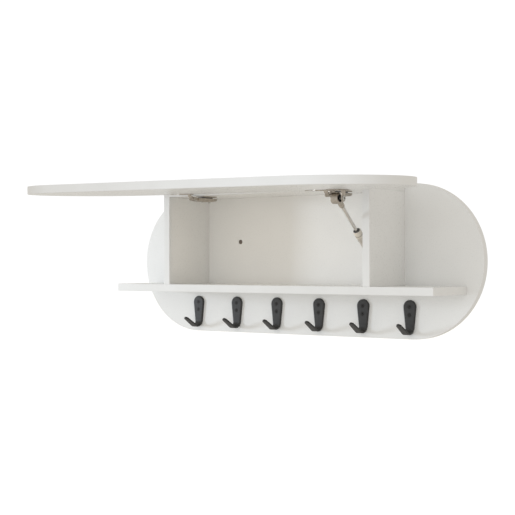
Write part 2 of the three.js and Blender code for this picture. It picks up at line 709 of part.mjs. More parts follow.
function rodEnd() {
  const eye = bar(EYE_RADIUS, EYE_LEFT + EYE_RIGHT, [EYE_RIGHT, 0, 0], DIRECTION.left, 32);
  const neck = bar(NECK_RADIUS, NECK_END - 4, [0, 0, -4], DIRECTION.down, 18);
  const socketTop = [0, 0, -ROD_START + GAP];
  const socket = bar(ROD_RADIUS + GAP, NECK_END - ROD_START + 1, socketTop, DIRECTION.down, 16);
  const recess = bar(EYE_RECESS.radius, EYE_RECESS.depth + 1, [EYE_RIGHT + 1, 0, 0], DIRECTION.left, 24);
  return cut(join(eye, [neck]), [socket, recess]);
}

function tubeCollar() {
  const profile = [
    [ROD_RADIUS + GAP, -COLLAR_START - 2],
    [ROD_RADIUS + GAP, -COLLAR_START],
    [COLLAR_RADIUS - 1, -COLLAR_START],
    [COLLAR_RADIUS, -COLLAR_START - 1],
    [COLLAR_RADIUS, -COLLAR_END],
    [TUBE_RADIUS + GAP, -COLLAR_END],
    [TUBE_RADIUS + GAP, -COLLAR_START - 2],
  ];
  return turned([...profile, profile[0]].reverse(), 20).rotateX(Math.PI / 2);
}

function strutTube() {
  const inner = TUBE_RADIUS - TUBE_WALL;
  const shell = turned([
    [0, -TUBE_END],
    [TUBE_RADIUS - 1.5, -TUBE_END],
    [TUBE_RADIUS, -TUBE_END + 2],
    [TUBE_RADIUS, -TUBE_START],
    [inner, -TUBE_START],
    [inner, -TUBE_END + 4],
    [0, -TUBE_END + 4],
  ], 20).rotateX(Math.PI / 2);
  const neck = bar(3.6, STAY_LENGTH - TUBE_END - 3, [0, 0, -TUBE_END + 1], DIRECTION.down, 16);
  const eyeRight = [LOWER_EYE_HALF, 0, -STAY_LENGTH];
  const eye = bar(LOWER_EYE_RADIUS, 2 * LOWER_EYE_HALF, eyeRight, DIRECTION.left, 20);
  return join(shell, [neck, eye]);
}

function panelBracketScrewPlaces() {
  const surface = INNER_HALF - BRACKET_SHEET;
  return [-1, 1].map((s) => [surface, STAY_LOWER.y, STAY_LOWER.z + s * PANEL_SCREW_Z]);
}

function panelBracketHoles() {
  return panelBracketScrewPlaces().map((place) => aim(sunkHole(BRACKET_SCREW), place, DIRECTION.left));
}

function panelBracket() {
  const outline = brokenRectangle(2 * PANEL_PLATE_HALF.y, 2 * PANEL_PLATE_HALF.z, 4);
  const sheet = acrossX(outline, INNER_HALF - BRACKET_SHEET, INNER_HALF);
  const plate = sheet.translate(0, STAY_LOWER.y, STAY_LOWER.z);
  const seat = bar(STUD_RADIUS + GAP, 6, [INNER_HALF + 1, STAY_LOWER.y, STAY_LOWER.z], DIRECTION.left, 16);
  return cut(plate, [...panelBracketHoles(), seat]);
}

// The stud on the panel bracket. It stops short of the tube's eye.
function lowerStud() {
  const start = INNER_HALF - 0.2;
  const end = STAY_X + LOWER_EYE_HALF + 0.4;
  const collarX = INNER_HALF - BRACKET_SHEET - GAP;
  const stud = bar(STUD_RADIUS, start - end, [start, STAY_LOWER.y, STAY_LOWER.z], DIRECTION.left, 16);
  const collar = bar(STUD_RADIUS + 2, 2.5, [collarX, STAY_LOWER.y, STAY_LOWER.z], DIRECTION.left, 6);
  return join(stud, [collar]);
}

function addStay(doorGroup) {
  const strut = strutGroup();
  addPiece('stay_door_bracket', doorBracket(), NICKEL, doorGroup);
  doorBracketScrewPlaces().forEach((place, i) => {
    const name = `stay_door_bracket_screw_${i + 1}`;
    addSunkScrew(name, BRACKET_SCREW, place, DIRECTION.back, ZINC, doorGroup);
  });
  addPiece('stay_upper_pin', upperPin(), ZINC, doorGroup);
  addPiece('stay_rod_end', rodEnd(), NICKEL, strut);
  const rod = bar(ROD_RADIUS, ROD_END - ROD_START, [0, 0, -ROD_START], DIRECTION.down, 20);
  addPiece('stay_rod', rod, CHROME, strut);
  addPiece('stay_tube_collar', tubeCollar(), NICKEL, strut);
  addPiece('stay_tube', strutTube(), TUBE_PAINT, strut);
  addPiece('stay_lower_stud', lowerStud(), ZINC);
  addPiece('stay_panel_bracket', panelBracket(), NICKEL);
  panelBracketScrewPlaces().forEach((place, i) => {
    addSunkScrew(`stay_panel_bracket_screw_${i + 1}`, BRACKET_SCREW, place, DIRECTION.left, ZINC);
  });
}

// ---- assembly ----

const doorGroup = openDoorGroup();
addBoards();
addHooks();
addPiece('door', doorBoard(), WHITE_BOARD, doorGroup);
addHinge('left', -HINGE_X, doorGroup);
addHinge('right', HINGE_X, doorGroup);
addStay(doorGroup);

export default rack;
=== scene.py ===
"""The looks of a wall hook rack: white boards, a flip-up door on hinges, a gas stay and black hooks.

Metres, +Z up. The origin is on the wall face: +X runs along the rack and -Y points into the room.
Pieces are built in millimetres in their own space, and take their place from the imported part.
"""

import json
import math

import bmesh
import bpy
from mathutils import Matrix, Vector

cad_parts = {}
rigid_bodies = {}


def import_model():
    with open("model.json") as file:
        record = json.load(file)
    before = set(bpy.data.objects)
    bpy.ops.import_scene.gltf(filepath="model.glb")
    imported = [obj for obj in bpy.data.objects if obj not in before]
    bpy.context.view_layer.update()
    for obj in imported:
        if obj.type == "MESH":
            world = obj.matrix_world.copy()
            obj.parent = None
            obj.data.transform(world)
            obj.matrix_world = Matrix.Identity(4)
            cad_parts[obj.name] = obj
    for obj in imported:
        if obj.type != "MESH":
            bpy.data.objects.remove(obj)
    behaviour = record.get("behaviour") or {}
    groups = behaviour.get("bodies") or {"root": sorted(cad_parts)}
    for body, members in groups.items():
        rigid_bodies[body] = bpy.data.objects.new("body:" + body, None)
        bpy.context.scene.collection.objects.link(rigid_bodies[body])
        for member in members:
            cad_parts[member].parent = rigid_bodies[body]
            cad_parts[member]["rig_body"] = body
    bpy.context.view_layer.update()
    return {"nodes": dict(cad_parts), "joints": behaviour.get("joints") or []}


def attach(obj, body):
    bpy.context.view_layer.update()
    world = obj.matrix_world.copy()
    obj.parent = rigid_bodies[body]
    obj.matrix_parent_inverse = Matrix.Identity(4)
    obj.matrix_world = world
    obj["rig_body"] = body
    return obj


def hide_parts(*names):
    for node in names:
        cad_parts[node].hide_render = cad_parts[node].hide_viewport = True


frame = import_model()
NODES = frame["nodes"]
JOINTS = {joint["name"]: joint for joint in frame["joints"]}
MM = 0.001
SIDES = ("left", "right")
HOOK_NUMBERS = range(1, 7)


# ---- spaces: where the swung and tilted parts sit ----

HERE = Matrix.Identity(4)
SWING = JOINTS["door_swing"]
LINK_SWING = JOINTS["hinge_link_swing"]
STAY_PIVOT = JOINTS["stay_rod_pivot"]
STAY_SLIDE = JOINTS["stay_tube_slide"]


def door_space():
    """Turns a piece drawn on the closed door to where the open door is."""
    pivot = Vector(SWING["pos_m"])
    axis = Vector(SWING["axis"])
    angle = math.radians(max(SWING["range_deg"]))
    tilt = Matrix.Rotation(math.atan2(-axis.z, axis.x), 4, "Y")
    on_pivot = Matrix.Translation(pivot) @ tilt
    return on_pivot @ Matrix.Rotation(-angle, 4, "X") @ Matrix.Translation(-pivot)


def strut_space():
    """Turns a strut drawn hanging down from the origin to the stay's slope, at its upper pivot."""
    away = -Vector(STAY_SLIDE["axis"]).normalized()
    turn = Vector((0, 0, -1)).rotation_difference(away).to_matrix().to_4x4()
    return Matrix.Translation(Vector(STAY_PIVOT["pos_m"])) @ turn


def on_axis(joint, x):
    """Where a joint's axis passes the plane at x, in millimetres."""
    place = Vector(joint["pos_m"]) / MM
    axis = Vector(joint["axis"])
    return place + axis * (x - place.x) / axis.x


DOOR = door_space()
STRUT = strut_space()


def box_in(space, node):
    """The lowest and highest corner of a CAD node, measured in that space, in millimetres."""
    back = space.inverted()
    points = [(back @ v.co) / MM for v in NODES[node].data.vertices]
    low = Vector(min(p[i] for p in points) for i in range(3))
    high = Vector(max(p[i] for p in points) for i in range(3))
    return low, high


# ---- materials ----

# The part of a noise's values that is spread over a whole range.
NOISE_LOW, NOISE_HIGH = 0.3, 0.7


def add_node(material, kind, **values):
    node = material.node_tree.nodes.new(kind)
    for key, value in values.items():
        node.inputs[key.replace("_", " ")].default_value = value
    return node


def link(material, output, target):
    material.node_tree.links.new(output, target)


def shader_of(material):
    return material.node_tree.nodes["Principled BSDF"]


def noise(material, scale, detail=3.0, stretch=(1, 1, 1)):
    """Noise fixed to the object, with an optional stretch along its axes."""
    place = material.node_tree.nodes.new("ShaderNodeTexCoord")
    mapping = add_node(material, "ShaderNodeMapping", Scale=stretch)
    texture = add_node(material, "ShaderNodeTexNoise", Scale=scale, Detail=detail)
    link(material, place.outputs["Object"], mapping.inputs["Vector"])
    link(material, mapping.outputs["Vector"], texture.inputs["Vector"])
    return texture.outputs["Fac"]


def spread(material, source, low, high):
    """Maps the middle of a noise to the range from low to high."""
    limits = {"From_Min": NOISE_LOW, "From_Max": NOISE_HIGH, "To_Min": low, "To_Max": high}
    node = add_node(material, "ShaderNodeMapRange", **limits)
    link(material, source, node.inputs["Value"])
    return node.outputs["Result"]


def between(material, source, first, second):
    """Maps the middle of a noise to the range between two colours."""
    ramp = material.node_tree.nodes.new("ShaderNodeValToRGB")
    ramp.color_ramp.elements[0].position = NOISE_LOW
    ramp.color_ramp.elements[1].position = NOISE_HIGH
    ramp.color_ramp.elements[0].color = (*first, 1)
    ramp.color_ramp.elements[1].color = (*second, 1)
    link(material, source, ramp.inputs["Fac"])
    return ramp.outputs["Color"]


def bump(material, source, strength, distance):
    node = add_node(material, "ShaderNodeBump", Strength=strength, Distance=distance)
    link(material, source, node.inputs["Height"])
    link(material, node.outputs["Normal"], shader_of(material).inputs["Normal"])


def new_material(
    name, colours, roughness, metallic=0.0, mottle=30.0, grain=400.0, stretch=(1, 1, 1),
    pebble=None, drawn=(1, 1, 1), relief=0.1, depth=0.0002,
):
    """A surface whose colour and roughness wander a little, under a fine relief.

    mottle and grain are the scales of the wander in colour and in roughness. The relief follows the grain,
    or a pebbled noise of its own where pebble gives its scale, stretched as drawn says.
    """
    material = bpy.data.materials.new(name)
    material.use_nodes = True
    shader = shader_of(material)
    shader.inputs["Metallic"].default_value = metallic
    wander = noise(material, mottle)
    fine = noise(material, grain, 2.0, stretch)
    link(material, between(material, wander, *colours), shader.inputs["Base Color"])
    link(material, spread(material, fine, *roughness), shader.inputs["Roughness"])
    if relief:
        height = noise(material, pebble, 2.0, drawn) if pebble else fine
        bump(material, height, relief, depth)
    return material


# Satin white foil on board: almost even, with a fine pebbled skin.
WHITE = new_material(
    "white_board", ((0.795, 0.795, 0.782), (0.825, 0.825, 0.812)), (0.26, 0.34),
    mottle=9.0, pebble=700.0, relief=0.08,
)
# The edge banding: a shade warmer, and faintly drawn along its length.
BAND = new_material(
    "edge_band", ((0.78, 0.778, 0.763), (0.81, 0.808, 0.795)), (0.3, 0.4),
    mottle=20.0, pebble=300.0, drawn=(0.3, 1, 1),
)
# Black powder coat: an even, finely pimpled satin film.
HOOK_BLACK = new_material(
    "black_powder_coat", ((0.018, 0.0175, 0.0165), (0.03, 0.029, 0.0275)), (0.42, 0.56),
    mottle=260.0, grain=900.0, pebble=1100.0, relief=0.35, depth=0.0003,
)
# Black oxide on the hooks' screws; the same black is painted shade in the recess of the stay's eye.
BLACK_OXIDE_AND_SHADE = new_material(
    "black_oxide_and_painted_shade", ((0.012, 0.011, 0.010), (0.022, 0.020, 0.018)), (0.32, 0.5), metallic=0.35,
    mottle=500.0, grain=1200.0, relief=0.0,
)
# Nickel-plated pressed steel with a light tumbled grain.
NICKEL = new_material(
    "nickel_plate", ((0.42, 0.38, 0.33), (0.53, 0.48, 0.42)), (0.24, 0.40), metallic=1.0,
    mottle=150.0, grain=500.0, stretch=(1, 0.25, 1), relief=0.12,
)
# Blackened steel, worn a little shiny, on the collar's wiper; the same dark is painted shade on the hinge
# plate's boss, on the pin inside the eye's recess and in the collar's groove.
DARK_STEEL_AND_SHADE = new_material(
    "dark_steel_and_painted_shade", ((0.10, 0.108, 0.118), (0.18, 0.172, 0.165)), (0.25, 0.45), metallic=0.8,
    mottle=220.0, grain=900.0,
)
# The pale moulded sleeve round the rod's seal.
SLEEVE = new_material(
    "pale_sleeve", ((0.60, 0.55, 0.48), (0.68, 0.64, 0.57)), (0.3, 0.45),
    mottle=120.0, grain=900.0, pebble=1200.0,
)
# Bright zinc on the small screws, the pivot and the stud.
ZINC = new_material(
    "zinc_plate", ((0.52, 0.51, 0.48), (0.66, 0.65, 0.62)), (0.26, 0.42), metallic=1.0,
    mottle=400.0, grain=900.0,
)
# The ground and plated rod: bright, with hair-fine rings round it.
CHROME = new_material(
    "ground_chrome", ((0.60, 0.57, 0.53), (0.67, 0.64, 0.60)), (0.06, 0.14), metallic=1.0,
    mottle=60.0, grain=1500.0, stretch=(0.1, 1, 1), relief=0.05, depth=0.0001,
)
# Silver lacquer on the stay's tube.
TUBE_PAINT = new_material(
    "silver_lacquer", ((0.54, 0.50, 0.45), (0.61, 0.57, 0.52)), (0.28, 0.40), metallic=0.45,
    mottle=80.0, grain=1400.0, pebble=1600.0,
)
# Brown plastic of the two wall caps.
CAP_BROWN = new_material(
    "brown_plastic", ((0.13, 0.105, 0.085), (0.19, 0.16, 0.135)), (0.4, 0.6),
    mottle=250.0, grain=900.0, pebble=900.0, relief=0.2,
)


# ---- mesh helpers: everything is drawn in millimetres ----

SMOOTH_ANGLE = math.radians(38)


def to_mesh(name, shape):
    bmesh.ops.recalc_face_normals(shape, faces=shape.faces)
    mesh = bpy.data.meshes.new(name)
    shape.to_mesh(mesh)
    shape.free()
    return mesh


def add_piece(name, shape, nodes, materials, space=HERE):
    """Turns a shape into a piece in its place, which stands for those CAD nodes and rides on their body."""
    mesh = to_mesh(name, shape)
    mesh.transform(space @ Matrix.Scale(MM, 4))
    mesh.shade_smooth()
    mesh.set_sharp_from_angle(angle=SMOOTH_ANGLE)
    for material in materials:
        mesh.materials.append(material)
    obj = bpy.data.objects.new(name, mesh)
    bpy.context.scene.collection.objects.link(obj)
    obj.modifiers.new("even_normals", "WEIGHTED_NORMAL").keep_sharp = True
    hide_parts(*nodes)
    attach(obj, NODES[nodes[0]]["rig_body"])


def combined(shape, others, operation):
    """A solid joined with, or cut by, the other solids."""
    base = bpy.data.objects.new("base", to_mesh("base", shape))
    tools = bpy.data.collections.new("tools")
    bpy.context.scene.collection.objects.link(base)
    bpy.context.scene.collection.children.link(tools)
    for other in others:
        tools.objects.link(bpy.data.objects.new("tool", to_mesh("tool", other)))
    modifier = base.modifiers.new("combine", "BOOLEAN")
    modifier.operation = operation
    modifier.operand_type = "COLLECTION"
    modifier.collection = tools
    modifier.solver = "EXACT"
    done = base.evaluated_get(bpy.context.evaluated_depsgraph_get()).to_mesh()
    result = bmesh.new()
    result.from_mesh(done)
    for obj in [*tools.objects, base]:
        bpy.data.objects.remove(obj)
    bpy.data.collections.remove(tools)
    return result


def cut(shape, tools):
    return combined(shape, tools, "DIFFERENCE")


def joined(shape, others):
    return combined(shape, others, "UNION")


def turned(profile, segments=48):
    """A turned solid about +Y. The profile starts and ends on the axis, or closes on itself."""
    shape = bmesh.new()
    rings = []
    for radius, height in profile:
        if radius == 0:
            rings.append([shape.verts.new((0, height, 0))])
            continue
        angles = [2 * math.pi * k / segments for k in range(segments)]
        points = [(radius * math.cos(a), height, radius * math.sin(a)) for a in angles]
        rings.append([shape.verts.new(point) for point in points])
    for lower, upper in zip(rings, rings[1:]):
        for k in range(segments):
            quad = [lower[k % len(lower)], lower[(k + 1) % len(lower)]]
            quad += [upper[(k + 1) % len(upper)], upper[k % len(upper)]]
            corners = list(dict.fromkeys(quad))
            if len(corners) > 2:
                shape.faces.new(corners)
    first, last = rings[0], rings[-1]
    if len(first) > 1:
        for k in range(segments):
            after = (k + 1) % segments
            shape.faces.new([last[k], last[after], first[after], first[k]])
    return shape


def aim(shape, place, direction):
    """Turns a shape drawn along +Y towards the given direction, then moves it to its place."""
    turn = Vector((0, 1, 0)).rotation_difference(Vector(direction)).to_matrix().to_4x4()
    bmesh.ops.transform(shape, matrix=Matrix.Translation(Vector(place)) @ turn, verts=shape.verts)
    return shape


def bar(radius, length, place, direction, segments=48, chamfer=0.0):
    """A round bar from one point, along one direction. A chamfer breaks the edges of its ends."""
    profile = [(0, 0), (radius, 0), (radius, length), (0, length)]
    if chamfer:
        profile = [
            (0, 0),
            (radius - chamfer, 0),
            (radius - chamfer * 0.3, chamfer * 0.3),
            (radius, chamfer),
            (radius, length - chamfer),
            (radius - chamfer * 0.3, length - chamfer * 0.3),
            (radius - chamfer, length),
            (0, length),
        ]
    return aim(turned(profile, segments), place, direction)


def rounded(shape, radius, steps=2, angle=math.radians(30)):
    """Rounds every edge that is sharper than the angle."""
    edges = [e for e in shape.edges if e.is_manifold and e.calc_face_angle() > angle]
    bmesh.ops.bevel(
        shape,
        geom=edges,
        offset=radius,
        offset_type="OFFSET",
        segments=steps,
        profile=0.5,
        affect="EDGES",
        clamp_overlap=True,
    )
    return shape


def block(low, high):
    """A box between two corners."""
    shape = bmesh.new()
    bmesh.ops.create_cube(shape, size=1)
    size = Vector(high) - Vector(low)
    middle = (Vector(high) + Vector(low)) / 2
    bmesh.ops.scale(shape, vec=size, verts=shape.verts)
    bmesh.ops.translate(shape, vec=middle, verts=shape.verts)
    return shape


def plate(outline, start, depth, axes):
    """A flat outline given thickness. axes says which way the outline's two numbers and the depth run."""
    first, second, through = (Vector(a) for a in axes)
    shape = bmesh.new()
    bottom = [shape.verts.new(first * a + second * b + through * start) for a, b in outline]
    shape.faces.new(bottom)
    moved = bmesh.ops.extrude_face_region(shape, geom=shape.faces[:])
    verts = [v for v in moved["geom"] if isinstance(v, bmesh.types.BMVert)]
    bmesh.ops.translate(shape, vec=through * depth, verts=verts)
    bmesh.ops.recalc_face_normals(shape, faces=shape.faces)
    return shape


def paint_second(shape, chosen):
    """Gives the faces whose centre is chosen the piece's second material."""
    for face in shape.faces:
        face.material_index = 1 if chosen(face.calc_center_median()) else 0


ALONG_X = ((0, 1, 0), (0, 0, 1), (1, 0, 0))
ALONG_Y = ((1, 0, 0), (0, 0, 1), (0, 1, 0))
TO_LEFT = (-1, 0, 0)
TO_RIGHT = (1, 0, 0)
TO_FRONT = (0, -1, 0)
TO_BACK = (0, 1, 0)
TO_FLOOR = (0, 0, -1)


def arc(centre, radius, start, end, steps):
    """Points round a centre, from one angle to another, in degrees."""
    angles = [math.radians(start + (end - start) * k / steps) for k in range(steps + 1)]
    return [(centre[0] + radius * math.cos(a), centre[1] + radius * math.sin(a)) for a in angles]


def round_rectangle(low, high, radius, steps=6):
    left, right = low[0] + radius, high[0] - radius
    bottom, top = low[1] + radius, high[1] - radius
    corners = [((right, bottom), -90), ((right, top), 0), ((left, top), 90), ((left, bottom), 180)]
    return [point for centre, start in corners for point in arc(centre, radius, start, start + 90, steps)]


def pill(width, height, steps=72):
    """An outline with straight top and bottom and half-round ends."""
    radius = height / 2
    reach = width / 2 - radius
    return arc((reach, 0), radius, -90, 90, steps) + arc((-reach, 0), radius, 90, 270, steps)


# ---- boards ----

FIT = 0.3
BOARD_EDGE = 0.8
PLANK_EDGE = BOARD_EDGE * 0.8
FACE, EDGE = 0, 1
FLAT_FACE = 0.9


def band_edges(shape, thin_axis):
    """Gives the faces that don't look along the board's thin axis the edge banding."""
    shape.normal_update()
    for face in shape.faces:
        face.material_index = FACE if abs(face.normal[thin_axis]) > FLAT_FACE else EDGE


def add_board(node, thin_axis):
    low, high = box_in(HERE, node)
    shape = rounded(block(low, high), PLANK_EDGE, 3)
    band_edges(shape, thin_axis)
    add_piece(f"{node}_board", shape, [node], [WHITE, BAND])


def head_place(node, space, direction):
    """The middle of the end of a CAD screw that faces the given way."""
    low, high = box_in(space, node)
    axis = Vector(direction)
    return (low + high) / 2 + axis * abs(((high - low) / 2).dot(axis))


def screw_mouth(node, space, direction, radius, depth):
    """The countersunk mouth round a screw whose head faces the given way."""
    cone = turned([
        (0, -depth - 2),
        (radius * 0.5, -depth - 2),
        (radius * 0.5, -depth),
        (radius, 0),
        (radius, 2),
        (0, 2),
    ])
    return aim(cone, head_place(node, space, direction), direction)


CABINET_SCREWS = [f"{part}_screw_{side}" for part in ("shelf", "side", "top") for side in SIDES]
CABINET_MOUTH = (4.8, 3.2)
WALL_CAPS = [f"wall_cap_{side}" for side in SIDES]
WALL_HOLE_RADIUS = 3.2
WALL_CAP_SEAT = 3.3


def back_panel():
    low, high = box_in(HERE, "back_panel")
    shape = plate(pill(high.x - low.x, high.z - low.z), low.y, high.y - low.y, ALONG_Y)
    rounded(shape, BOARD_EDGE, 3)
    tools = [screw_mouth(node, HERE, TO_BACK, *CABINET_MOUTH) for node in CABINET_SCREWS]
    for node in WALL_CAPS:
        cap_low, cap_high = box_in(HERE, node)
        start = ((cap_low.x + cap_high.x) / 2, low.y - 1, (cap_low.z + cap_high.z) / 2)
        tools.append(bar(WALL_HOLE_RADIUS, high.y - low.y + 2, start, TO_BACK))
        tools.append(bar((cap_high.x - cap_low.x) / 2 + FIT, WALL_CAP_SEAT + 1, start, TO_BACK))
    shape = cut(shape, tools)
    band_edges(shape, 1)
    add_piece("back_panel_board", shape, ["back_panel"], [WHITE, BAND])


CUP_SCREWS = [f"{side}_hinge_cup_screw_{i}" for side in SIDES for i in (1, 2)]
DOOR_MOUTH = (3.8, 2.6)
CUP_RADIUS = 17.5
CUP_DEPTH = 11.5


def cup_centre(side):
    """Where the middle of a hinge cup is on the closed door."""
    low, high = box_in(DOOR, f"{side}_hinge_cup")
    return (low.x + high.x) / 2, high.z - CUP_RADIUS


def door():
    low, high = box_in(DOOR, "door")
    shape = plate(pill(high.x - low.x, high.z - low.z), low.y, high.y - low.y, ALONG_Y)
    bmesh.ops.translate(shape, vec=(0, 0, (high.z + low.z) / 2), verts=shape.verts)
    rounded(shape, BOARD_EDGE, 3)
    tools = [screw_mouth(node, DOOR, TO_BACK, *DOOR_MOUTH) for node in CUP_SCREWS]
    for side in SIDES:
        x, z = cup_centre(side)
        tools.append(bar(CUP_RADIUS + FIT, CUP_DEPTH + 2, (x, high.y - CUP_DEPTH, z), TO_BACK, 64))
    shape = cut(shape, tools)
    band_edges(shape, 1)
    add_piece("door_board", shape, ["door"], [WHITE, BAND], DOOR)


back_panel()
door()
add_board("shelf", 2)
add_board("top_panel", 2)
add_board("left_side_panel", 0)
add_board("right_side_panel", 0)


# ---- screws ----

HOOK_SCREW = {"head": 4, "sink": 2.3, "shank": 1.8, "length": 15.5, "cross": 2.1}
CABINET_SCREW = {"head": 4.2, "sink": 2.6, "shank": 2.1, "length": 45, "cross": 2.3}
CUP_SCREW = {"head": 3.4, "sink": 1.6, "shank": 1.6, "length": 11, "cross": 1.9}
BRACKET_SCREW = {"head": 3.2, "sink": 1.6, "shank": 1.5, "length": 11, "cross": 1.8}
ARM_SCREW = {"radius": 3.2, "height": 1.5, "shank": 1.6, "length": 9}


def cross_recess(reach, depth):
    """A cross-shaped pit whose arms taper towards the bottom."""
    arms = []
    for turn in (0, 90):
        arm = block((-reach, -depth, -0.45), (reach, 1, 0.45))
        for vert in arm.verts:
            if vert.co.y < 0:
                vert.co.x *= 0.35
                vert.co.z *= 0.7
        bmesh.ops.rotate(arm, matrix=Matrix.Rotation(math.radians(turn), 3, "Y"), verts=arm.verts)
        arms.append(arm)
    return arms


def sunk_screw(head, sink, shank, length, cross):
    """A countersunk cross-head screw: the head's top is at the origin and faces +Y."""
    body = turned([
        (0, -length),
        (shank * 0.5, -length + 1.2),
        (shank, -length + 3),
        (shank, -sink - 0.4),
        (shank + 0.25, -sink),
        (head - 0.1, -0.45),
        (head, -0.25),
        (head - 0.15, -0.04),
        (head - 0.6, 0),
        (0, 0),
    ])
    return cut(body, cross_recess(cross, sink * 0.7))


def pan_screw(radius, height, shank, length):
    """A pan-head cross screw: the underside of the head is at the origin and the head faces +Y."""
    body = turned([
        (0, -length),
        (shank, -length),
        (shank, 0),
        (radius - 0.15, 0),
        (radius, 0.2),
        (radius, height * 0.45),
        (radius * 0.92, height * 0.75),
        (radius * 0.7, height * 0.95),
        (radius * 0.4, height),
        (0, height),
    ])
    recess = cross_recess(radius * 0.58, height * 0.75)
    for arm in recess:
        bmesh.ops.translate(arm, vec=(0, height, 0), verts=arm.verts)
    return cut(body, recess)


def add_screw(node, shape, direction, material, space=HERE, drop=0.0):
    """Sets a screw in its place. drop is how far its origin lies below the top of its head."""
    place = head_place(node, space, direction) - Vector(direction) * drop
    add_piece(f"{node}_detail", aim(shape, place, direction), [node], [material], space)


def add_screws():
    for i in HOOK_NUMBERS:
        for which in ("upper", "lower"):
            node = f"hook_{i}_{which}_screw"
            add_screw(node, sunk_screw(**HOOK_SCREW), TO_FRONT, BLACK_OXIDE_AND_SHADE)
    for node in CABINET_SCREWS:
        add_screw(node, sunk_screw(**CABINET_SCREW), TO_BACK, ZINC)
    for node in CUP_SCREWS:
        add_screw(node, sunk_screw(**CUP_SCREW), TO_BACK, ZINC, DOOR)
    for i in (1, 2):
        node = f"stay_door_bracket_screw_{i}"
        add_screw(node, sunk_screw(**BRACKET_SCREW), TO_BACK, ZINC, DOOR)
        node = f"stay_panel_bracket_screw_{i}"
        add_screw(node, sunk_screw(**BRACKET_SCREW), TO_LEFT, ZINC)
    for side in SIDES:
        for use in ("fixing", "adjusting"):
            node, drop = f"{side}_hinge_{use}_screw", ARM_SCREW["height"]
            add_screw(node, pan_screw(**ARM_SCREW), TO_FLOOR, ZINC, drop=drop)


add_screws()


# ---- hooks: a flat strap, thicker in the middle than at its edge, bent to shape ----

HEAD_RADIUS = 13.45
WAIST_HALF = 9.2
HEEL_HALF = 7.2
TIP_RADIUS = 5.2
THICK = 4.4
STRAIGHT = 52
HEEL_RADIUS = 11.5
TOE_FLAT = 0.5
TOE_RADIUS = 7
ARM_ANGLE = 31
ARM_LENGTH = 35
HEEL = HEEL_RADIUS * math.pi / 2
TOE = TOE_RADIUS * math.radians(ARM_ANGLE)
BENDS = [(STRAIGHT, 0), (HEEL, 90), (TOE_FLAT, 0), (TOE, ARM_ANGLE), (ARM_LENGTH, 0)]
STRAP_LENGTH = sum(length for length, _ in BENDS)
CROWN = 2.3
CROWN_RISE = 1.7
STRAP_STEPS = 44
CROWN_STEPS = 5
SCREW_DROPS = (12.9, 28.4)
SCREW_BORE = 2.1
SCREW_SINK = 2.3
SCREW_MOUTH = 4.3


def bent(along, height):
    """Where a point of the flat strap goes: how far out of the panel, and how far above the hook's top."""
    out, rise, angle = THICK / 2, 0.0, math.radians(-90)
    left = along
    for length, turn in BENDS:
        part = min(left, length)
        if turn:
            radius = length / math.radians(turn)
            step = math.radians(turn) * part / length
            out += radius * (math.sin(angle + step) - math.sin(angle))
            rise += radius * (math.cos(angle) - math.cos(angle + step))
            angle += step
        else:
            out += part * math.cos(angle)
            rise += part * math.sin(angle)
        left -= part
    return out - math.sin(angle) * height, rise + math.cos(angle) * height


def strap_width(along):
    """Half the strap's width between its round ends."""
    stops = [
        (HEAD_RADIUS, HEAD_RADIUS),
        (STRAIGHT, WAIST_HALF),
        (STRAIGHT + HEEL, HEEL_HALF),
        (STRAP_LENGTH - TIP_RADIUS, TIP_RADIUS),
    ]
    for (start, wide), (end, narrow) in zip(stops, stops[1:]):
        if along <= end:
            return wide + (narrow - wide) * (along - start) / (end - start)
    return TIP_RADIUS


def strap_side(inset):
    """Points down one side of the flat strap, as (distance along, half width), moved in by inset."""
    head = [(HEAD_RADIUS - x, y) for x, y in arc((0, 0), HEAD_RADIUS - inset, 0, 90, 14)]
    tip = [(STRAP_LENGTH - TIP_RADIUS + x, y) for x, y in arc((0, 0), TIP_RADIUS - inset, 90, 0, 10)]
    start, end = HEAD_RADIUS, STRAP_LENGTH - TIP_RADIUS
    stations = [start + (end - start) * k / STRAP_STEPS for k in range(1, STRAP_STEPS)]
    return head + [(s, strap_width(s) - inset) for s in stations] + tip


def strap_levels():
    """How far in, and how high, each rim line runs: a small break behind and a long round in front."""
    half = THICK / 2
    levels = [(0.5, -half), (0.15, -half + 0.15), (0.0, -half + 0.5)]
    for k in range(CROWN_STEPS + 1):
        angle = math.radians(90 * k / CROWN_STEPS)
        levels.append((CROWN * (1 - math.cos(angle)), half - CROWN_RISE * (1 - math.sin(angle))))
    return levels


def hook_shape(x, back_y, top_z):
    """The bent strap, ringed by its rim lines, with a countersunk mouth for each screw."""
    shape = bmesh.new()
    rims = []
    for inset, height in strap_levels():
        side = strap_side(inset)
        loop = side + [(s, -w) for s, w in side[-2:0:-1]]
        ring = []
        for along, across in loop:
            out, rise = bent(along, height)
            ring.append(shape.verts.new((x + across, back_y - out, top_z + rise)))
        rims.append(ring)
    count = len(rims[0])
    for lower, upper in zip(rims, rims[1:]):
        for k in range(count):
            shape.faces.new([lower[k], lower[(k + 1) % count], upper[(k + 1) % count], upper[k]])
    for ring in (rims[0], rims[-1]):
        half = count // 2
        for k in range(half):
            corners = [ring[k], ring[k + 1], ring[(count - k - 1) % count], ring[(count - k) % count]]
            shape.faces.new(list(dict.fromkeys(corners)))
    bmesh.ops.recalc_face_normals(shape, faces=shape.faces)
    mouths = []
    for drop in SCREW_DROPS:
        mouth = turned([
            (0, -THICK - 1),
            (SCREW_BORE, -THICK - 1),
            (SCREW_BORE, -SCREW_SINK),
            (SCREW_MOUTH, 0),
            (SCREW_MOUTH + 0.2, 0.4),
            (SCREW_MOUTH + 0.2, 2),
            (0, 2),
        ])
        mouths.append(aim(mouth, (x, back_y - THICK, top_z - drop), TO_FRONT))
    return cut(shape, mouths)


def add_hooks():
    for i in HOOK_NUMBERS:
        low, high = box_in(HERE, f"hook_{i}")
        shape = hook_shape((low.x + high.x) / 2, high.y, high.z)
        add_piece(f"hook_{i}_strap", shape, [f"hook_{i}"], [HOOK_BLACK])


add_hooks()


# ---- wall caps ----


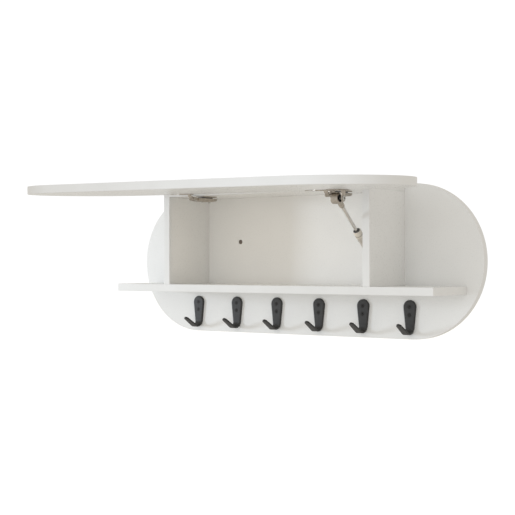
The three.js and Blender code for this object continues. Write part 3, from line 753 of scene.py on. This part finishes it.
def add_wall_caps():
    for node in WALL_CAPS:
        low, high = box_in(HERE, node)
        radius = (high.x - low.x) / 2
        place = ((low.x + high.x) / 2, low.y, (low.z + high.z) / 2)
        cap = turned([
            (0, -8),
            (2.5, -8),
            (2.9, -3),
            (radius, -3),
            (radius, -0.7),
            (radius - 0.3, -0.25),
            (radius - 1.2, 0),
            (radius - 1.9, -0.1),
            (2.0, -0.2),
            (1.6, -1.0),
            (0, -1.2),
        ])
        add_piece(f"{node}_detail", aim(cap, place, TO_FRONT), [node], [CAP_BROWN])


add_wall_caps()


# ---- hinges ----

ARM_HALF = 9
ARM_BOTTOM = 122.0
SHEET = 1.5
NOSE_RADIUS = 3.4
NOSE_HALF = 7
LINK_HALF = 4
ARM_CLEARANCE = 1.6
ARM_HOLE = 2.4
ARM_SCREW_Y = (-99, -123)
# Where along Y the arm's hollow, its fork and its shoulders' cuts end.
HOLLOW_FRONT = -141
FORK_REAR = -146
SHOULDER_REAR = -143
PAST_NOSE = -160


def middle_x(node, space=HERE):
    low, high = box_in(space, node)
    return (low.x + high.x) / 2


def crossing(x, half, y, z, radius, chamfer=0.0):
    """A round bar that runs along X, from half to the right of x to half to the left."""
    return bar(radius, 2 * half, (x + half, y, z), TO_LEFT, 40, chamfer)


def hinge_arm(side):
    """A folded channel with rounded shoulders, forked round the link at its nose."""
    node = f"{side}_hinge_arm"
    x = middle_x(node)
    _, high = box_in(HERE, node)
    nose = on_axis(LINK_SWING, x)
    top, bottom, rear = high.z - ARM_CLEARANCE, ARM_BOTTOM, high.y
    outline = [(rear, top), (rear - 0.6, bottom + 5), (rear - 1.8, bottom + 3.2), (rear - 4, bottom + 2.0)]
    outline += [(-100, bottom + 0.4), (-118, bottom - 0.4), (-129, bottom - 0.4)]
    outline += [(nose.y + 2, nose.z - NOSE_RADIUS)]
    outline += arc((nose.y, nose.z), NOSE_RADIUS, -60, -240, 14) + [(FORK_REAR, top)]
    body = rounded(plate(outline, x - ARM_HALF, 2 * ARM_HALF, ALONG_X), 0.6, 3)
    inner, fork, below = ARM_HALF - SHEET, LINK_HALF + FIT, nose.z - 8
    tools = [
        block((x - inner, HOLLOW_FRONT, bottom + 3), (x + inner, rear - 3, top + 3)),
        block((x - fork, PAST_NOSE, nose.z - 6), (x + fork, FORK_REAR, top + 3)),
        block((x - 12, PAST_NOSE, below), (x - NOSE_HALF, SHOULDER_REAR, top + 3)),
        block((x + NOSE_HALF, PAST_NOSE, below), (x + 12, SHOULDER_REAR, top + 3)),
    ]
    tools += [bar(ARM_HOLE, 14, (x, y, top), TO_FLOOR, 32) for y in ARM_SCREW_Y]
    pin = crossing(x, NOSE_HALF + FIT, nose.y, nose.z, 1.4, 0.3)
    add_piece(f"{node}_detail", joined(cut(body, tools), [pin]), [node], [NICKEL])


def hinge_plate(side):
    """The plate under the box's top, with a boss that the arm slides over; the boss is painted dark as
    painted shade in the gap above the arm.
    """
    node = f"{side}_hinge_plate"
    x = middle_x(node)
    low, high = box_in(HERE, node)
    sheet = rounded(block((low.x, low.y, high.z - 2), high), 0.35)
    boss = rounded(block((x - 5, low.y + 2, low.z), (x + 5, high.y - 6, high.z - 1)), 0.35)
    tools = [bar(1.9, 9, (x, y, high.z + 1), TO_FLOOR, 24) for y in ARM_SCREW_Y]
    shape = cut(joined(sheet, [boss]), tools)
    # The boss's faces are painted dark: painted shade for the gap between arm and plate.
    paint_second(shape, lambda centre: centre.z < high.z - 2.2)
    add_piece(f"{node}_detail", shape, [node], [NICKEL, DARK_STEEL_AND_SHADE])


def hinge_link(side):
    """An eye on the nose pin and a curved lug that reaches into the cup's mouth."""
    node = f"{side}_hinge_link"
    x = middle_x(node)
    nose = on_axis(LINK_SWING, x)
    lug = [(0, -2.6), (-2.6, -1.7), (-5, -0.2), (-8, 2.4), (-10.1, 4.2), (-11.4, 6), (-12, 7.6)]
    lug += [(-12.2, 9.2), (-10.6, 9.2), (-10.2, 7.6), (-9, 6.2), (-7, 4.9), (-4, 3.2), (0, 2.8)]
    outline = [(nose.y + y, nose.z + z) for y, z in lug]
    strap = rounded(plate(outline, x - LINK_HALF, 2 * LINK_HALF, ALONG_X), 0.3)
    eye = crossing(x, LINK_HALF, nose.y, nose.z, 3, 0.3)
    hole = crossing(x, LINK_HALF + 1, nose.y, nose.z, 1.7)
    add_piece(f"{node}_detail", cut(joined(eye, [strap]), [hole]), [node], [NICKEL])


CUP_EAR_DROP = 9.5
CUP_EAR_MOUTH = (3.7, 1.7)


def hinge_cup(side):
    """A pressed pan with a rolled rim, and two ears that carry its screws."""
    node = f"{side}_hinge_cup"
    x, z = cup_centre(side)
    low, high = box_in(DOOR, node)
    rim = high.y - low.y
    pan = turned([
        (0, 0),
        (16.6, 0),
        (17.3, 0.3),
        (CUP_RADIUS, 1),
        (CUP_RADIUS, rim - 0.3),
        (17.3, rim - 0.05),
        (17, rim),
        (16.7, rim - 0.05),
        (16.5, rim - 0.4),
        (16.4, 2),
        (15.6, 1.1),
        (0, 1),
    ], 72)
    half = (high.x - low.x) / 2
    ears = plate(round_rectangle((-half, -6), (half, 6), 5), rim - 0.9, 0.9, ALONG_Y)
    bmesh.ops.translate(ears, vec=(0, 0, -CUP_EAR_DROP), verts=ears.verts)
    pan = joined(pan, [cut(rounded(ears, 0.25), [bar(17, 6, (0, rim - 3, 0), TO_BACK)])])
    bmesh.ops.translate(pan, vec=(x, low.y, z), verts=pan.verts)
    mouths = [screw_mouth(f"{node}_screw_{i}", DOOR, TO_BACK, *CUP_EAR_MOUTH) for i in (1, 2)]
    add_piece(f"{node}_detail", cut(pan, mouths), [node], [NICKEL], DOOR)


for side in SIDES:
    hinge_arm(side)
    hinge_plate(side)
    hinge_link(side)
    hinge_cup(side)


# ---- gas stay ----

EYE_RADIUS = 10.3
EYE_LEFT = 9.4
EYE_RIGHT = 6
RECESS_RADIUS = 6.8
RECESS_DEPTH = 2.6
CHEEK = 2
CHEEK_RADIUS = 6.5
CHEEK_START = EYE_RIGHT + 5.5
CHEEK_END = CHEEK_START + CHEEK
FLANGE_HEIGHT = 7
FLANGE_HALF = 8
PIN_HOLE = 3.3
BRACKET_MOUTH = (3.5, 1.7)
BRACKET_EDGE = 0.35
ROD_RADIUS = 3
STUD_RADIUS = 3.6
PIVOT = DOOR.inverted() @ Vector(STAY_PIVOT["pos_m"]) / MM


def bracket_mouths(node, space, direction):
    return [screw_mouth(f"{node}_screw_{i}", space, direction, *BRACKET_MOUTH) for i in (1, 2)]


def door_bracket():
    """A folded bracket: a foot plate, a low flange on its left and a round-ended cheek on its right."""
    node = "stay_door_bracket"
    low, high = box_in(DOOR, node)
    foot = rounded(block(low, (high.x, low.y + 2, high.z)), BRACKET_EDGE)
    flange_low = (low.x, low.y + 0.5, PIVOT.z - FLANGE_HALF)
    flange_high = (low.x + CHEEK, low.y + FLANGE_HEIGHT, PIVOT.z + FLANGE_HALF)
    flange = rounded(block(flange_low, flange_high), BRACKET_EDGE)
    outline = [(low.y + 0.5, PIVOT.z - CHEEK_RADIUS)]
    outline += arc((PIVOT.y, PIVOT.z), CHEEK_RADIUS, -90, 90, 24)
    outline += [(low.y + 0.5, PIVOT.z + CHEEK_RADIUS)]
    cheek = rounded(plate(outline, PIVOT.x + CHEEK_START, CHEEK, ALONG_X), BRACKET_EDGE)
    tools = [bar(PIN_HOLE, 8, PIVOT + Vector((CHEEK_END + 3, 0, 0)), TO_LEFT)]
    tools += bracket_mouths(node, DOOR, TO_BACK)
    shape = cut(joined(foot, [flange, cheek]), tools)
    add_piece(f"{node}_detail", shape, [node], [NICKEL], DOOR)


def upper_pin():
    """The pivot: a stud in the eye's recess, riveted through the cheek, with a socket in its head; its part
    in the recess is painted dark as painted shade.
    """
    tip = EYE_RIGHT - RECESS_DEPTH + 0.4
    pin = turned([
        (0, tip),
        (1.9, tip),
        (2.7, tip + 0.5),
        (3.0, tip + 1.3),
        (3.0, tip + 2.6),
        (2.4, tip + 3.6),
        (2.4, CHEEK_START - 0.8),
        (3.0, CHEEK_START - 0.5),
        (3.0, CHEEK_END + 0.1),
        (4.7, CHEEK_END + 0.1),
        (5.0, CHEEK_END + 0.4),
        (4.8, CHEEK_END + 0.95),
        (4.4, CHEEK_END + 1.2),
        (2.6, CHEEK_END + 1.2),
        (2.4, CHEEK_END + 1.0),
        (2.4, CHEEK_END - 0.8),
        (0, CHEEK_END - 0.8),
    ])
    # The stud's part inside the eye's recess is painted dark: painted shade.
    paint_second(pin, lambda centre: centre.y < CHEEK_START - 0.6)
    aim(pin, PIVOT, TO_RIGHT)
    materials = [ZINC, DARK_STEEL_AND_SHADE]
    add_piece("stay_upper_pin_detail", pin, ["stay_upper_pin"], materials, DOOR)


def rod_end():
    """The rod's eye: a drum with a recess in its right face, running out into a round neck; the recess is
    painted black as painted shade.
    """
    drum = aim(turned([
        (0, -EYE_LEFT),
        (EYE_RADIUS - 1.2, -EYE_LEFT),
        (EYE_RADIUS - 0.3, -EYE_LEFT + 0.35),
        (EYE_RADIUS, -EYE_LEFT + 1.2),
        (EYE_RADIUS, EYE_RIGHT - 1.2),
        (EYE_RADIUS - 0.3, EYE_RIGHT - 0.35),
        (EYE_RADIUS - 1.2, EYE_RIGHT),
        (0, EYE_RIGHT),
    ], 72), (0, 0, 0), TO_RIGHT)
    neck = aim(turned([
        (0, 4),
        (3.8, 4),
        (4.1, 11),
        (4.9, 12),
        (5.2, 13),
        (5.2, 19),
        (4.8, 21),
        (4.1, 22.6),
        (3.5, 23),
        (0, 23),
    ]), (0, 0, 0), TO_FLOOR)
    recess = turned([
        (0, -1),
        (RECESS_RADIUS + 0.7, -1),
        (RECESS_RADIUS + 0.7, 0),
        (RECESS_RADIUS, 0.6),
        (RECESS_RADIUS, RECESS_DEPTH),
        (0, RECESS_DEPTH),
    ], 64)
    socket = bar(ROD_RADIUS + FIT, 8, (0, 0, -16.7), TO_FLOOR)
    shape = cut(joined(drum, [neck]), [socket, aim(recess, (EYE_RIGHT, 0, 0), TO_LEFT)])

    # Faces inside the recess get the black: painted shade in the recess.
    def painted_shade_in_recess(centre):
        near_axis = math.hypot(centre.y, centre.z) < RECESS_RADIUS + 0.1
        return near_axis and 0 < centre.x < EYE_RIGHT - 0.3

    paint_second(shape, painted_shade_in_recess)
    materials = [NICKEL, BLACK_OXIDE_AND_SHADE]
    add_piece("stay_rod_end_detail", shape, ["stay_rod_end"], materials, STRUT)


def span_along(node):
    """How far down the strut a turned piece starts and ends."""
    low, high = box_in(STRUT, node)
    return -high.z, -low.z


def rod():
    start, end = span_along("stay_rod")
    shape = bar(ROD_RADIUS, end - start, (0, 0, -start), TO_FLOOR, 48, 0.4)
    add_piece("stay_rod_detail", shape, ["stay_rod"], [CHROME], STRUT)


def tube_collar():
    """The tube's guide: a dark wiper on the end of a pale sleeve, with a groove above its foot that is
    painted dark as painted shade.
    """
    start, end = span_along("stay_tube_collar")
    bore, wiper, skin, seat = ROD_RADIUS + FIT, 6.1, 7.7, 7.1
    lip, groove, groove_end = start + 2.8, end - 6.5, end - 4.8
    shape = aim(turned([
        (bore, lip),
        (bore, start),
        (wiper, start),
        (wiper + 0.4, start + 0.5),
        (skin - 0.4, start + 1.1),
        (skin, start + 1.9),
        (skin, groove),
        (skin - 0.8, groove + 0.3),
        (skin - 0.8, groove_end - 0.3),
        (skin, groove_end),
        (skin, end - 0.6),
        (skin - 0.3, end),
        (seat, end),
        (seat, lip),
    ]), (0, 0, 0), TO_FLOOR)
    # The wiper's end is dark; the groove's faces are painted dark as painted shade.
    paint_second(shape, lambda centre: -centre.z < start + 0.6 or groove < -centre.z < groove_end)
    materials = [SLEEVE, DARK_STEEL_AND_SHADE]
    add_piece("stay_tube_collar_detail", shape, ["stay_tube_collar"], materials, STRUT)


def tube():
    """The hollow tube with its closed, necked end, and the lower eye."""
    start, end = span_along("stay_tube")
    skin, hollow, eye_radius = 6.8, 5.6, 7
    length = end - eye_radius
    shell = aim(turned([
        (0, length - 17),
        (hollow - 0.2, length - 17.4),
        (hollow, length - 18),
        (hollow, start + 0.1),
        (skin - 0.1, start),
        (skin, start + 0.2),
        (skin, length - 15.6),
        (skin - 0.2, length - 14.6),
        (skin - 1, length - 13.4),
        (skin - 1.6, length - 13),
        (0, length - 13),
    ]), (0, 0, 0), TO_FLOOR)
    neck = bar(3.6, 12, (0, 0, -length + 14), TO_FLOOR)
    half, chamfer = 4.5, 0.5
    eye = aim(turned([
        (0, -half),
        (eye_radius - chamfer, -half),
        (eye_radius, chamfer - half),
        (eye_radius, half - chamfer),
        (eye_radius - chamfer, half),
        (0, half),
    ]), (0, 0, -length), TO_RIGHT)
    shape = joined(shell, [joined(neck, [eye])])
    add_piece("stay_tube_detail", shape, ["stay_tube"], [TUBE_PAINT], STRUT)


def lower_fixing():
    """The stud with its hexagon collar, and the round-cornered plate that it stands on."""
    node = "stay_panel_bracket"
    low, high = box_in(HERE, "stay_lower_stud")
    y, z = (low.y + high.y) / 2, (low.z + high.z) / 2
    stud = bar(STUD_RADIUS, high.x - low.x, (high.x, y, z), TO_LEFT, 40, 0.3)
    low, high = box_in(HERE, node)
    hexagon = turned([(0, 0), (5.6, 0), (5.6, 2.5), (0, 2.5)], 6)
    hexagon = rounded(aim(hexagon, (low.x - FIT, y, z), TO_LEFT), 0.25)
    shape = joined(stud, [hexagon])
    add_piece("stay_lower_stud_detail", shape, ["stay_lower_stud"], [ZINC])
    outline = round_rectangle((low.y, low.z), (high.y, high.z), 4)
    shape = rounded(plate(outline, low.x, high.x - low.x, ALONG_X), BRACKET_EDGE)
    tools = bracket_mouths(node, HERE, TO_LEFT)
    tools.append(crossing((low.x + high.x) / 2, 5, y, z, STUD_RADIUS + FIT))
    add_piece(f"{node}_detail", cut(shape, tools), [node], [NICKEL])


door_bracket()
upper_pin()
rod_end()
rod()
tube_collar()
tube()
lower_fixing()


# ---- camera, light and floor ----

CAMERA_PLACE = Vector((1.3423, -1.9708, -0.0029))
CAMERA_YAW = math.radians(36.45)
CAMERA_PITCH = math.radians(0.275)
CAMERA_ROLL = math.radians(-0.063)
CAMERA_LENS = 81.84
CAMERA_SENSOR = 36


def add_camera():
    data = bpy.data.cameras.new("camera")
    data.lens = CAMERA_LENS
    data.sensor_width = CAMERA_SENSOR
    camera = bpy.data.objects.new("camera", data)
    yaw = Matrix.Rotation(CAMERA_YAW, 4, "Z")
    pitch = Matrix.Rotation(math.radians(90) + CAMERA_PITCH, 4, "X")
    roll = Matrix.Rotation(CAMERA_ROLL, 4, "Z")
    camera.matrix_world = Matrix.Translation(CAMERA_PLACE) @ yaw @ pitch @ roll
    bpy.context.scene.collection.objects.link(camera)
    bpy.context.scene.camera = camera


def add_area_light(name, place, target, size, watts, colour):
    data = bpy.data.lights.new(name, "AREA")
    data.shape = "RECTANGLE"
    data.size, data.size_y = size
    data.energy = watts
    data.color = colour
    light = bpy.data.objects.new(name, data)
    light.location = place
    light.rotation_euler = (Vector(target) - Vector(place)).to_track_quat("-Z", "Y").to_euler()
    light.visible_camera = False
    bpy.context.scene.collection.objects.link(light)
    return light


SKY_COLOUR = (1, 0.963, 0.898, 1)
SKY_STRENGTH = 0.72
SEEN_COLOUR = (1, 1, 1, 1)
SEEN_STRENGTH = 1.05


def add_surroundings():
    """An even, slightly warm sky for the light, seen as plain white."""
    world = bpy.data.worlds.new("surroundings")
    world.use_nodes = True
    bpy.context.scene.world = world
    nodes, links = world.node_tree.nodes, world.node_tree.links
    nodes.clear()
    seen = nodes.new("ShaderNodeBackground")
    seen.inputs["Color"].default_value = SEEN_COLOUR
    seen.inputs["Strength"].default_value = SEEN_STRENGTH
    light = nodes.new("ShaderNodeBackground")
    light.inputs["Color"].default_value = SKY_COLOUR
    light.inputs["Strength"].default_value = SKY_STRENGTH
    path = nodes.new("ShaderNodeLightPath")
    mix = nodes.new("ShaderNodeMixShader")
    out = nodes.new("ShaderNodeOutputWorld")
    links.new(path.outputs["Is Camera Ray"], mix.inputs["Fac"])
    links.new(light.outputs["Background"], mix.inputs[1])
    links.new(seen.outputs["Background"], mix.inputs[2])
    links.new(mix.outputs["Shader"], out.inputs["Surface"])


FLOOR_Z = -1.1
FLOOR_HALF = 30.0
FLOOR_COLOUR = (0.85, 0.85, 0.85, 1)
FLOOR_GLOW = 0.55


def add_floor():
    """A plain pale floor, well below, which neither tints nor mirrors in the object."""
    material = bpy.data.materials.new("floor_white")
    material.use_nodes = True
    shader = shader_of(material)
    shader.inputs["Base Color"].default_value = FLOOR_COLOUR
    shader.inputs["Roughness"].default_value = 0.9
    shader.inputs["Emission Color"].default_value = (1, 1, 1, 1)
    shader.inputs["Emission Strength"].default_value = FLOOR_GLOW
    shape = bmesh.new()
    bmesh.ops.create_grid(shape, x_segments=8, y_segments=8, size=FLOOR_HALF)
    mesh = to_mesh("floor", shape)
    mesh.materials.append(material)
    floor = bpy.data.objects.new("floor", mesh)
    floor.location = (0, 0, FLOOR_Z)
    floor.visible_diffuse = False
    floor.visible_glossy = False
    bpy.context.scene.collection.objects.link(floor)


def limit_reach(light, piece, state):
    """Makes a light leave out one piece, or fall on that piece only."""
    group = bpy.data.collections.new(f"{light.name}_reach")
    group.objects.link(bpy.data.objects[piece])
    light.light_linking.receiver_collection = group
    for member in group.collection_objects:
        member.light_linking.link_state = state


FRONT_SOFT = {
    "place": (0.5, -3.2, 0.4), "target": (0, 0, 0), "size": (2.4, 1.8),
    "watts": 16, "colour": (0.86, 0.92, 1),
}
LEFT_KEY = {
    "place": (-3.5, -1.9, 0.05), "target": (0, 0, 0.05), "size": (0.45, 0.6),
    "watts": 57, "colour": (0.78, 0.875, 1),
}
BOX_GLOW = {
    "place": (0, -0.143, 0.043), "target": (0, 0, 0.043), "size": (0.44, 0.15),
    "watts": 0.047, "colour": (1, 0.82, 0.59),
}
DOOR_LIGHT = {
    "place": (0.3, -1.3, 0.25), "target": (0.2, -0.45, 0.14), "size": (0.5, 0.3),
    "watts": 3.0, "colour": (0.77, 0.865, 1),
}


def add_lights():
    """A wide light in front, a low one on the left, a warm glow in the box and the door's own light."""
    front = add_area_light("front_soft", **FRONT_SOFT)
    key = add_area_light("left_key", **LEFT_KEY)
    glow = add_area_light("box_glow", **BOX_GLOW)
    door_light = add_area_light("door_light", **DOOR_LIGHT)
    for light in (front, key):
        limit_reach(light, "door_board", "EXCLUDE")
    limit_reach(door_light, "door_board", "INCLUDE")
    for light in (glow, door_light):
        light.visible_glossy = False


add_camera()
add_surroundings()
add_floor()
add_lights()
bpy.context.scene.view_settings.view_transform = "Standard"
